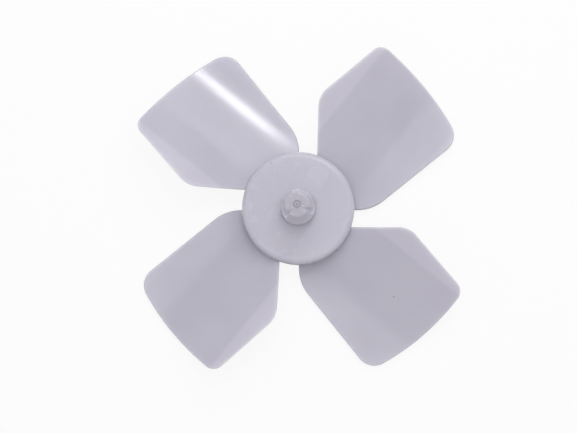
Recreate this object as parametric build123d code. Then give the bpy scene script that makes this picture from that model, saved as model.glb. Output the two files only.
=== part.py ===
from build123d import *
from math import atan2, cos, degrees, radians, sin, sqrt, tan
import os

os.makedirs("parts", exist_ok=True)

# Axial fan impeller, injection moulded in one piece from natural plastic.
# Lengths are in millimetres and angles in degrees. Z is the shaft axis, with the boss to the front
# at +Z. The origin is on the axis, level with the rear rim of the hub.

# Hub: a cup that is open to the rear
hub_diameter = 31.0
hub_height = 11.5
hub_draft = 1.0
skirt_wall = 1.6
disc_thickness = 1.8
hub_rim_radius = 1.3

# Tube and blind bore for the motor shaft, open to the rear
shaft_diameter = 3.2
press_interference = 0.05
tube_wall = 2.2
tube_setback = 1.0
bore_lead_in = 0.4

# Boss: a straight barrel, then a steep shoulder up to a slightly crowned cap
boss_diameter = 9.3
boss_barrel_height = 6.6
boss_shoulder_height = 5.4
boss_cap_diameter = 6.9
boss_crown = 0.15
boss_foot_bevel = 0.3
boss_shoulder_radius = 0.8
boss_cap_radius = 0.6

# Slots that divide the boss into fingers round a core, above the end of the bore.
# They widen to their mouths.
slot_count = 3
first_slot_angle = 99.0
slot_mouth_width = 1.7
slot_inner_width = 0.8
slot_floor_height = 5.0
slot_floor_wall = 1.0
slot_core_diameter = 2.9

# Mark of the moulding gate on the cap: a fine groove round a dimple
gate_ring_diameter = 2.1
gate_ring_width = 0.3
gate_dimple_diameter = 0.5
gate_mark_depth = 0.3

# Blades: plates of even thickness, bent to a round camber about a straight line
blade_count = 4
first_blade_angle = 45.0
blade_thickness = 1.5
camber_radius = 39.9
camber_skew = 6.0
lead_root_clearance = 1.3
trail_root_clearance = 1.0
blade_edge_chamfer = 0.3
blade_root_fillet = 0.6

# Outline of a blade seen along the shaft, with X out along the blade and Y to the trailing edge
blade_reach = 49.25
tip_arc_radius = 64.0
tip_arc_shift = 3.9
shoulder_gap = 0.9
shoulder_angle = -45.0
lead_edge_heading = -6.3
notch_gap = 15.3
notch_angle = 34.2
notch_edge_heading = 43.0
trail_edge_heading = -4.0
shoulder_corner_radius = 11.4
lead_corner_radius = 5.2
trail_corner_radius = 3.4
notch_corner_radius = 6.7

hub_radius = hub_diameter / 2
boss_radius = boss_diameter / 2
bore_radius = (shaft_diameter - press_interference) / 2
boss_shoulder_z = hub_height + boss_barrel_height
tip_z = boss_shoulder_z + boss_shoulder_height
slot_floor_z = hub_height + slot_floor_height
bore_end_z = slot_floor_z - slot_floor_wall

# how far an edge may be off a direction or a wall and still count as on it
close_share = 0.02


def skirt_radius(height):
    """Outer radius of the hub's drafted skirt at a height."""
    return hub_radius - (hub_height - height) * tan(radians(hub_draft))


# the blades end inside the skirt's wall, clear of the hollow behind it
blade_root_radius = skirt_radius(0) - skirt_wall / 2


def at(reach, angle):
    """The point at a distance from the axis and an angle from the blade's own X."""
    return Vector(reach * cos(radians(angle)), reach * sin(radians(angle)))


def first_hit(start, heading, centre, radius):
    """The first point of a circle that a line meets on its way from start."""
    step = at(1, heading)
    offset = start - centre
    along = offset.dot(step)
    root = sqrt(along**2 - offset.dot(offset) + radius**2)
    inside = offset.length < radius
    return start + step * (root - along if inside else -root - along)


def hub_section():
    """Half section of the hub, the tube and the boss, in X and Z."""
    tube_radius = bore_radius + tube_wall
    ceiling = hub_height - disc_thickness
    corners = [
        ((0, tip_z + boss_crown), 0),
        ((boss_cap_diameter / 2, tip_z), boss_cap_radius),
        ((boss_radius, boss_shoulder_z), boss_shoulder_radius),
        ((boss_radius, hub_height + boss_foot_bevel), 0),
        ((boss_radius + boss_foot_bevel, hub_height), 0),
        ((hub_radius, hub_height), hub_rim_radius),
        ((skirt_radius(0), 0), 0),
        ((skirt_radius(0) - skirt_wall, 0), 0),
        ((skirt_radius(ceiling) - skirt_wall, ceiling), 0),
        ((tube_radius, ceiling), 0),
        ((tube_radius, tube_setback), 0),
        ((bore_radius + bore_lead_in, tube_setback), 0),
        ((bore_radius, tube_setback + bore_lead_in), 0),
        ((bore_radius, bore_end_z), 0),
        ((0, bore_end_z), 0),
    ]
    points = [point for point, radius in corners]
    radii = [radius for point, radius in corners]
    return Plane.XZ * make_face(FilletPolyline(points, radius=radii, close=True))


def slots():
    """The cutters for the slots in the boss, spread evenly round the axis."""
    mouth = boss_radius + boss_foot_bevel
    outline = Polyline(
        (slot_core_diameter / 2, -slot_inner_width / 2),
        (mouth, -slot_mouth_width / 2),
        (mouth, slot_mouth_width / 2),
        (slot_core_diameter / 2, slot_inner_width / 2),
        close=True,
    )
    cutter = Pos(0, 0, slot_floor_z) * extrude(make_face(outline), amount=tip_z)
    angles = [first_slot_angle + turn * 360 / slot_count for turn in range(slot_count)]
    return [Rot(0, 0, angle) * cutter for angle in angles]


def gate_mark():
    """The cutter for the groove and the dimple that the gate leaves in the cap."""
    ring = Circle(gate_ring_diameter / 2) - Circle(gate_ring_diameter / 2 - gate_ring_width)
    sketch = ring + Circle(gate_dimple_diameter / 2)
    return Pos(0, 0, tip_z + boss_crown - gate_mark_depth) * extrude(sketch, amount=boss_cap_diameter)


def blade_corners(root_radius):
    """The sharp corners of the blade's outline, from the root round to the root again."""
    tip_centre = Vector(blade_reach - tip_arc_radius, tip_arc_shift)
    rounding = shoulder_corner_radius * tan(radians(lead_edge_heading - shoulder_angle) / 2)
    shoulder = at(hub_radius + shoulder_gap + rounding, shoulder_angle)
    notch = at(hub_radius + notch_gap, notch_angle)
    return [
        at(root_radius, shoulder_angle),
        shoulder,
        first_hit(shoulder, lead_edge_heading, tip_centre, tip_arc_radius),
        first_hit(notch, trail_edge_heading, tip_centre, tip_arc_radius),
        notch,
        first_hit(notch, notch_edge_heading + 180, Vector(0, 0), root_radius),
    ]


def blade_outline():
    """The blade's outline with its corners rounded."""
    lead_root, shoulder, lead_tip, trail_tip, notch, trail_root = blade_corners(blade_root_radius)
    root_middle = (lead_root + trail_root).normalized() * blade_root_radius
    outline = make_face(
        Polyline(lead_root, shoulder, lead_tip)
        + RadiusArc(lead_tip, trail_tip, -tip_arc_radius)
        + Polyline(trail_tip, notch, trail_root)
        + ThreePointArc(trail_root, root_middle, lead_root)
    )
    rounding = [
        (shoulder, shoulder_corner_radius),
        (lead_tip, lead_corner_radius),
        (trail_tip, trail_corner_radius),
        (notch, notch_corner_radius),
    ]
    for corner, radius in rounding:
        outline = fillet(outline.vertices().sort_by_distance(corner)[0], radius)
    return outline


def camber_centre(across):
    """The centre of the camber in the section plane, so that the blade's root stays on the skirt."""
    lead_root, *others, trail_root = blade_corners(hub_radius)
    lead = Vector(lead_root.dot(across), lead_root_clearance + blade_thickness)
    trail = Vector(trail_root.dot(across), hub_height - hub_rim_radius - trail_root_clearance)
    chord = trail - lead
    upwards = Vector(-chord.Y, chord.X).normalized()
    return lead + chord * 0.5 + upwards * sqrt(camber_radius**2 - (chord.length / 2) ** 2)


def blade():
    """One blade along X: a slice of a round shell, cut to the outline along the shaft."""
    across = at(1, 90 + camber_skew)
    centre = camber_centre(across)
    section_plane = Plane(origin=(0, 0, 0), x_dir=across, z_dir=at(1, camber_skew))
    ring = Pos(centre) * (Circle(camber_radius + blade_thickness) - Circle(camber_radius))
    shell = extrude(section_plane * ring, amount=2 * blade_reach, both=True)
    plate = extrude(blade_outline(), amount=centre.Y) & shell
    rim = [edge for edge in plate.edges() if on_rim(edge)]
    return chamfer(rim, blade_edge_chamfer)


def on_rim(edge):
    """True for an edge of the blade's front or rear face that is outside the hub."""
    ends = edge.position_at(0), edge.position_at(1)
    upright = abs(ends[1].Z - ends[0].Z) > (1 - close_share) * edge.length
    return not upright


def is_root(edge):
    """True for a long edge where a face of a blade meets the skirt."""
    if edge.geom_type in (GeomType.CIRCLE, GeomType.LINE) or edge.length < 2 * blade_thickness:
        return False
    places = [edge.position_at(share) for share in (0, 0.5, 1)]
    gaps = [Vector(place.X, place.Y).length - skirt_radius(place.Z) for place in places]
    return max(abs(gap) for gap in gaps) < close_share * skirt_wall


def impeller():
    """The whole moulding."""
    # the seam of the revolved hub goes midway between two blades
    trail_root = blade_corners(hub_radius)[-1]
    gap = shoulder_angle - degrees(atan2(trail_root.Y, trail_root.X)) + 360 / blade_count
    seam_angle = first_blade_angle + shoulder_angle - gap / 2
    body = revolve(hub_section().rotate(Axis.Z, seam_angle), Axis.Z)
    one_blade = blade()
    for turn in range(blade_count):
        body += Rot(0, 0, first_blade_angle + turn * 360 / blade_count) * one_blade
    body = fillet([edge for edge in body.edges() if is_root(edge)], blade_root_fillet)
    for cutter in [gate_mark(), *slots()]:
        body -= cutter
    return body


export_step(impeller(), "parts/impeller.step")
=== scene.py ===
import bpy
from mathutils import Matrix, Vector

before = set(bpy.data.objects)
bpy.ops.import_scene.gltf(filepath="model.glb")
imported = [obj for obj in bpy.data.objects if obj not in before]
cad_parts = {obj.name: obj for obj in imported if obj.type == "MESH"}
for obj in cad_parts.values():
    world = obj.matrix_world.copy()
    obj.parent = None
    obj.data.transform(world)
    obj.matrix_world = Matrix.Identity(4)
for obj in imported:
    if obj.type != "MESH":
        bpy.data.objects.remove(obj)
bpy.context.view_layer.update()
print("frame loaded:", ", ".join(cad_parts))


viewSettings = {
    "imageSize": (577, 433),
    "hubPixel": (299.14, 210.76),  # where the shaft axis meets the picture
    "pixelsPerMetre": 3560.0,
    "focalPixels": 1900.0,
    "lean": (-0.03, 0.0725),  # how far the boss leans to the right, here to the left, and up
    "sensorWidth": 36,
    "clipRange": (0.01, 20),
}


def addCamera(settings):
    width, height = settings["imageSize"]
    leanX, leanY = settings["lean"]
    hubX, hubY = settings["hubPixel"]
    towards = Vector((leanX, leanY, 1)).normalized()
    across = Vector((1, 0, 0))
    across = (across - towards * across.dot(towards)).normalized()
    turn = Matrix((across, towards.cross(across), towards))
    offset = Vector((width / 2 - hubX, hubY - height / 2, settings["focalPixels"]))
    place = turn @ offset / settings["pixelsPerMetre"]

    data = bpy.data.cameras.new("camera")
    data.sensor_fit = "HORIZONTAL"
    data.sensor_width = settings["sensorWidth"]
    data.lens = settings["focalPixels"] / width * data.sensor_width
    data.clip_start, data.clip_end = settings["clipRange"]
    camera = bpy.data.objects.new("camera", data)
    camera.matrix_world = Matrix.Translation(place) @ turn.to_4x4()
    bpy.context.scene.collection.objects.link(camera)
    bpy.context.scene.camera = camera


addCamera(viewSettings)
bpy.context.scene.view_settings.view_transform = "Standard"
print("camera set")


class Wire:  # a node's output that can be used in sums
    def __init__(self, shader, socket):
        self.shader = shader
        self.socket = socket

    def sum(self, operation, first, second):
        return self.shader.add("Math", {"operation": operation}, {0: first, 1: second})

    def __add__(self, other):
        return self.sum("ADD", self, other)

    def __radd__(self, other):
        return self.sum("ADD", other, self)

    def __sub__(self, other):
        return self.sum("SUBTRACT", self, other)

    def __rsub__(self, other):
        return self.sum("SUBTRACT", other, self)

    def __mul__(self, other):
        return self.sum("MULTIPLY", self, other)

    def __rmul__(self, other):
        return self.sum("MULTIPLY", other, self)

    def __truediv__(self, other):
        return self.sum("DIVIDE", self, other)

    def __rtruediv__(self, other):
        return self.sum("DIVIDE", other, self)


class Shader:  # the nodes of a material or of the world
    def __init__(self, owner):
        owner.use_nodes = True
        self.owner = owner
        self.tree = owner.node_tree
        self.tree.nodes.clear()

    def add(self, kind, settings=None, values=None, output=0):
        node = self.tree.nodes.new("ShaderNode" + kind)
        for name, value in (settings or {}).items():
            setattr(node, name, value)
        for name, value in (values or {}).items():
            if isinstance(value, Wire):
                self.tree.links.new(value.socket, node.inputs[name])
            else:
                node.inputs[name].default_value = value
        return Wire(self, node.outputs[output]) if node.outputs else None

    def mix(self, factor, first, second):
        return self.add("Mix", {"data_type": "RGBA"}, {0: factor, 6: first, 7: second}, output=2)

    def mixShader(self, factor, first, second):
        return self.add("MixShader", values={0: factor, 1: first, 2: second})

    def smooth(self, value, low, high):
        return self.add("MapRange", {"interpolation_type": "SMOOTHSTEP"},
                        {"Value": value, "From Min": low, "From Max": high})

    def noise(self, place, size, detail):
        return self.add("TexNoise", values={"Vector": place, "Scale": 1 / size, "Detail": detail})

    def reach(self, x, y):
        return self.add("Math", {"operation": "SQRT"}, {0: x * x + y * y})

    def finish(self, surface, kind="OutputMaterial"):
        self.add(kind, values={"Surface": surface})
        return self.owner


# sizes are in metres
plasticLook = {
    "colour": (0.553, 0.536, 0.622, 1),
    "cloudColour": (0.598, 0.585, 0.662, 1),
    "cloudSize": 0.022,
    "cloudDetail": 3.0,
    "cloudEdges": (0.3, 0.7),
    "cloudShare": 0.6,
    "flowRays": 3.5,  # flow lines run out from the gate
    "flowLength": 0.02,
    "flowDetail": 3.0,
    "flowEdges": (0.35, 0.65),
    "flowStart": (0.005, 0.02),
    "flowShare": 0.12,
    # the flecks' own colour, also used for the painted shade in the gate's groove and dimple
    "fleckAndShadeColour": (0.33, 0.31, 0.37, 1),
    "fleckCore": 0.5,
    "fleckShare": 0.7,
    "flecks": [(-0.0074, 0.0123, 0.00028), (0.0263, -0.0243, 0.00032)],  # x, y and radius
    "hubRoughness": 0.27,
    "bladeRoughness": 0.15,
    "bladeStart": (0.0155, 0.024),
    "sheenPerCloud": 3,  # the gloss changes faster than the clouds
    "sheenDetail": 4.0,
    "roughnessSpread": 0.07,
    "sinkSize": 0.011,  # slow waves left by the mould
    "sinkDetail": 1.0,
    "sinkHeight": 0.00002,
    "grainSize": 0.0005,
    "grainDetail": 2.0,
    "grainHeight": 0.0000025,
    "refraction": 1.49,
    "milkShare": 0.85,
    "milkDepth": 0.003,
    "milkReach": (1.06, 1.0, 0.97),  # how deep red, green and blue go
}
bossLook = {
    "footHeight": 0.0115,
    "shoulderHeight": 0.0181,
    "tipHeight": 0.0235,
    "barrelRadius": 0.00465,
    "capRadius": 0.00345,
    "coreRadius": 0.0018,
    "roughness": 0.15,
    "roughnessFade": 0.002,  # how far under the shoulder the gloss changes
    "bossShadeColour": (0.47, 0.455, 0.525, 1),  # painted shade: the boss above the shoulder is coloured darker than the plates
    "bossShadeFade": (0.0005, 0.001),  # under and over the shoulder
    "gateDepths": (0.0004, 0.0002),
    "gateRadius": 0.0009,
    "gateWidth": 0.00022,
    "gateCore": 0.6,
    "dimpleEdges": (0.00018, 0.0003),
    "gateShare": 0.3,
    "glowColour": (0.57, 0.545, 0.59, 1),
    "glowDepths": (0.0003, 0.0012),  # under the tip
    "glowStart": 0.001,  # over the foot
    "slotEdges": (0.0001, 0.0006),
    "bossGlow": 0.09,  # then also in the slots, and at the core
    "slotGlow": 0.09,
    "coreGlow": 0.14,
}


def cloudyColour(shader, look, place, x, y, radius):
    clouds = shader.noise(place, look["cloudSize"], look["cloudDetail"])
    clouds = shader.smooth(clouds, *look["cloudEdges"])
    along = shader.add("CombineXYZ", values={
        "X": x / radius * look["flowRays"],
        "Y": y / radius * look["flowRays"],
        "Z": radius / look["flowLength"],
    })
    flow = shader.smooth(shader.noise(along, 1.0, look["flowDetail"]), *look["flowEdges"])
    flow = flow * shader.smooth(radius, *look["flowStart"])
    shade = clouds * look["cloudShare"] + flow * look["flowShare"]
    return shader.mix(shade, look["colour"], look["cloudColour"])


def addFlecks(shader, look, colour, x, y):
    for fleckX, fleckY, fleckRadius in look["flecks"]:
        away = shader.reach(x - fleckX, y - fleckY)
        inside = 1 - shader.smooth(away, fleckRadius * look["fleckCore"], fleckRadius)
        colour = shader.mix(inside * look["fleckShare"], colour, look["fleckAndShadeColour"])
    return colour


# painted shade: the boss above the shoulder gets a darker colour than the plates
def paintBossShade(shader, boss, colour, z):
    under, over = boss["bossShadeFade"]
    bossShade = shader.smooth(z, boss["shoulderHeight"] - under, boss["shoulderHeight"] + over)
    return shader.mix(bossShade, colour, boss["bossShadeColour"])


# the gate's groove and dimple hold some shade
def shadeGate(shader, boss, colour, shadeColour, radius, z):
    lower, upper = boss["gateDepths"]
    onCap = shader.smooth(z, boss["tipHeight"] - lower, boss["tipHeight"] - upper)
    fromGroove = shader.add("Math", {"operation": "ABSOLUTE"}, {0: radius - boss["gateRadius"]})
    groove = 1 - shader.smooth(fromGroove, boss["gateWidth"] * boss["gateCore"], boss["gateWidth"])
    dimple = 1 - shader.smooth(radius, *boss["dimpleEdges"])
    return shader.mix(onCap * (groove + dimple) * boss["gateShare"], colour, shadeColour)


# painted glow: emission stands in for light that comes through the boss and lifts the shade on it,
# most of all deep in its slots
def glowInBoss(shader, boss, radius, z):
    rise = boss["tipHeight"] - boss["shoulderHeight"]
    slope = (boss["barrelRadius"] - boss["capRadius"]) / rise
    bossEdge = boss["barrelRadius"] - (z - boss["shoulderHeight"]) * slope
    underTip = shader.smooth(boss["tipHeight"] - z, *boss["glowDepths"])
    overFoot = shader.smooth(z, boss["footHeight"], boss["footHeight"] + boss["glowStart"])
    inSlot = shader.smooth(bossEdge - radius, *boss["slotEdges"])
    atCore = 1 - shader.smooth(radius, boss["coreRadius"], boss["capRadius"])
    strength = boss["bossGlow"] + inSlot * boss["slotGlow"] + atCore * boss["coreGlow"]
    return shader.mix(underTip * overFoot * strength, (0, 0, 0, 1), boss["glowColour"])


def plasticRoughness(shader, look, boss, place, radius, z):
    onBlade = shader.smooth(radius, *look["bladeStart"])
    shoulder = boss["shoulderHeight"]
    onBoss = shader.smooth(z, shoulder - boss["roughnessFade"], shoulder)
    sheen = shader.noise(place, look["cloudSize"] / look["sheenPerCloud"], look["sheenDetail"])
    return (look["hubRoughness"] + onBlade * (look["bladeRoughness"] - look["hubRoughness"])
            + onBoss * (boss["roughness"] - look["hubRoughness"])
            + (sheen - 0.5) * look["roughnessSpread"])


def plasticBumps(shader, look, place):
    sink = shader.noise(place, look["sinkSize"], look["sinkDetail"])
    grain = shader.noise(place, look["grainSize"], look["grainDetail"])
    waves = shader.add("Bump", values={
        "Height": sink, "Distance": look["sinkHeight"], "Strength": 1.0,
    })
    return shader.add("Bump", values={
        "Height": grain, "Distance": look["grainHeight"], "Strength": 1.0, "Normal": waves,
    })


def makePlastic(look, boss):
    shader = Shader(bpy.data.materials.new("natural_plastic_moulded"))
    place = shader.add("TexCoord", output="Object")
    x, y, z = [shader.add("SeparateXYZ", values={0: place}, output=axis) for axis in range(3)]
    radius = shader.reach(x, y)

    colour = cloudyColour(shader, look, place, x, y, radius)
    colour = addFlecks(shader, look, colour, x, y)
    colour = paintBossShade(shader, boss, colour, z)
    # painted shade in the gate's groove and dimple
    colour = shadeGate(shader, boss, colour, look["fleckAndShadeColour"], radius, z)
    surface = shader.add("BsdfPrincipled", {"subsurface_method": "RANDOM_WALK"}, {
        "Base Color": colour,
        "Roughness": plasticRoughness(shader, look, boss, place, radius, z),
        "Normal": plasticBumps(shader, look, place),
        "IOR": look["refraction"],
        "Subsurface Weight": look["milkShare"],
        "Subsurface Radius": look["milkReach"],
        "Subsurface Scale": look["milkDepth"],
        # painted glow in the boss, its slots and its core
        "Emission Color": glowInBoss(shader, boss, radius, z),
        "Emission Strength": 1.0,
    })
    return shader.finish(surface)


plastic = makePlastic(plasticLook, bossLook)
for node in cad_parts.values():
    for slot in node.material_slots:
        slot.material = plastic
print("plastic set")


stageSettings = {
    "floorSize": 6.0,
    "floorColour": (0.94, 0.94, 0.94, 1),
    "floorGlow": 0.88,  # how much of the floor the camera sees as plain white
    "floorDrop": 0.00005,
    "white": (1, 1, 1, 1),
    "worldStrength": 0.53,
}
lamps = {
    "overheadBox": {"place": (0.0, 0.03, 0.45), "size": 0.4, "power": 0.48},
    "sideBox": {"place": (0.035, 0.15, 0.2), "size": 0.18, "power": 0.11},
    "bulb": {"place": (0.064, 0.311, 0.849), "size": 0.11, "power": 0.55},  # the blade's bright streak
}


def addFloor(settings):
    shader = Shader(bpy.data.materials.new("floor_white"))
    seenDirectly = shader.add("LightPath", output="Is Camera Ray")
    paper = shader.add("BsdfDiffuse", values={"Color": settings["floorColour"]})
    white = shader.add("Emission", values={"Color": settings["white"], "Strength": 1.0})
    above = shader.mixShader(seenDirectly * settings["floorGlow"], paper, white)
    # from below the floor is clear, so that the part's rear can be seen
    fromBelow = shader.add("NewGeometry", output="Backfacing")
    clear = shader.add("BsdfTransparent")

    half = settings["floorSize"] / 2
    low = -settings["floorDrop"]
    corners = [(-half, -half, low), (half, -half, low), (half, half, low), (-half, half, low)]
    mesh = bpy.data.meshes.new("floor")
    mesh.from_pydata(corners, [], [(0, 1, 2, 3)])
    mesh.materials.append(shader.finish(shader.mixShader(fromBelow, above, clear)))
    floor = bpy.data.objects.new("floor", mesh)
    bpy.context.scene.collection.objects.link(floor)


def addLamp(name, settings):
    data = bpy.data.lights.new(name, "AREA")
    data.shape = "DISK"
    data.size = settings["size"]
    data.energy = settings["power"]
    lamp = bpy.data.objects.new(name, data)
    lamp.location = settings["place"]
    lamp.rotation_euler = Vector(settings["place"]).to_track_quat("Z", "Y").to_euler()
    bpy.context.scene.collection.objects.link(lamp)


def setWorld(settings):
    shader = Shader(bpy.data.worlds.new("studio"))
    seenDirectly = shader.add("LightPath", output="Is Camera Ray")
    soft, white = [shader.add("Background", values={"Color": settings["white"], "Strength": strength})
                   for strength in (settings["worldStrength"], 1.0)]
    surface = shader.mixShader(seenDirectly, soft, white)
    bpy.context.scene.world = shader.finish(surface, "OutputWorld")


addFloor(stageSettings)
for name, settings in lamps.items():
    addLamp(name, settings)
setWorld(stageSettings)
print("floor and light set")
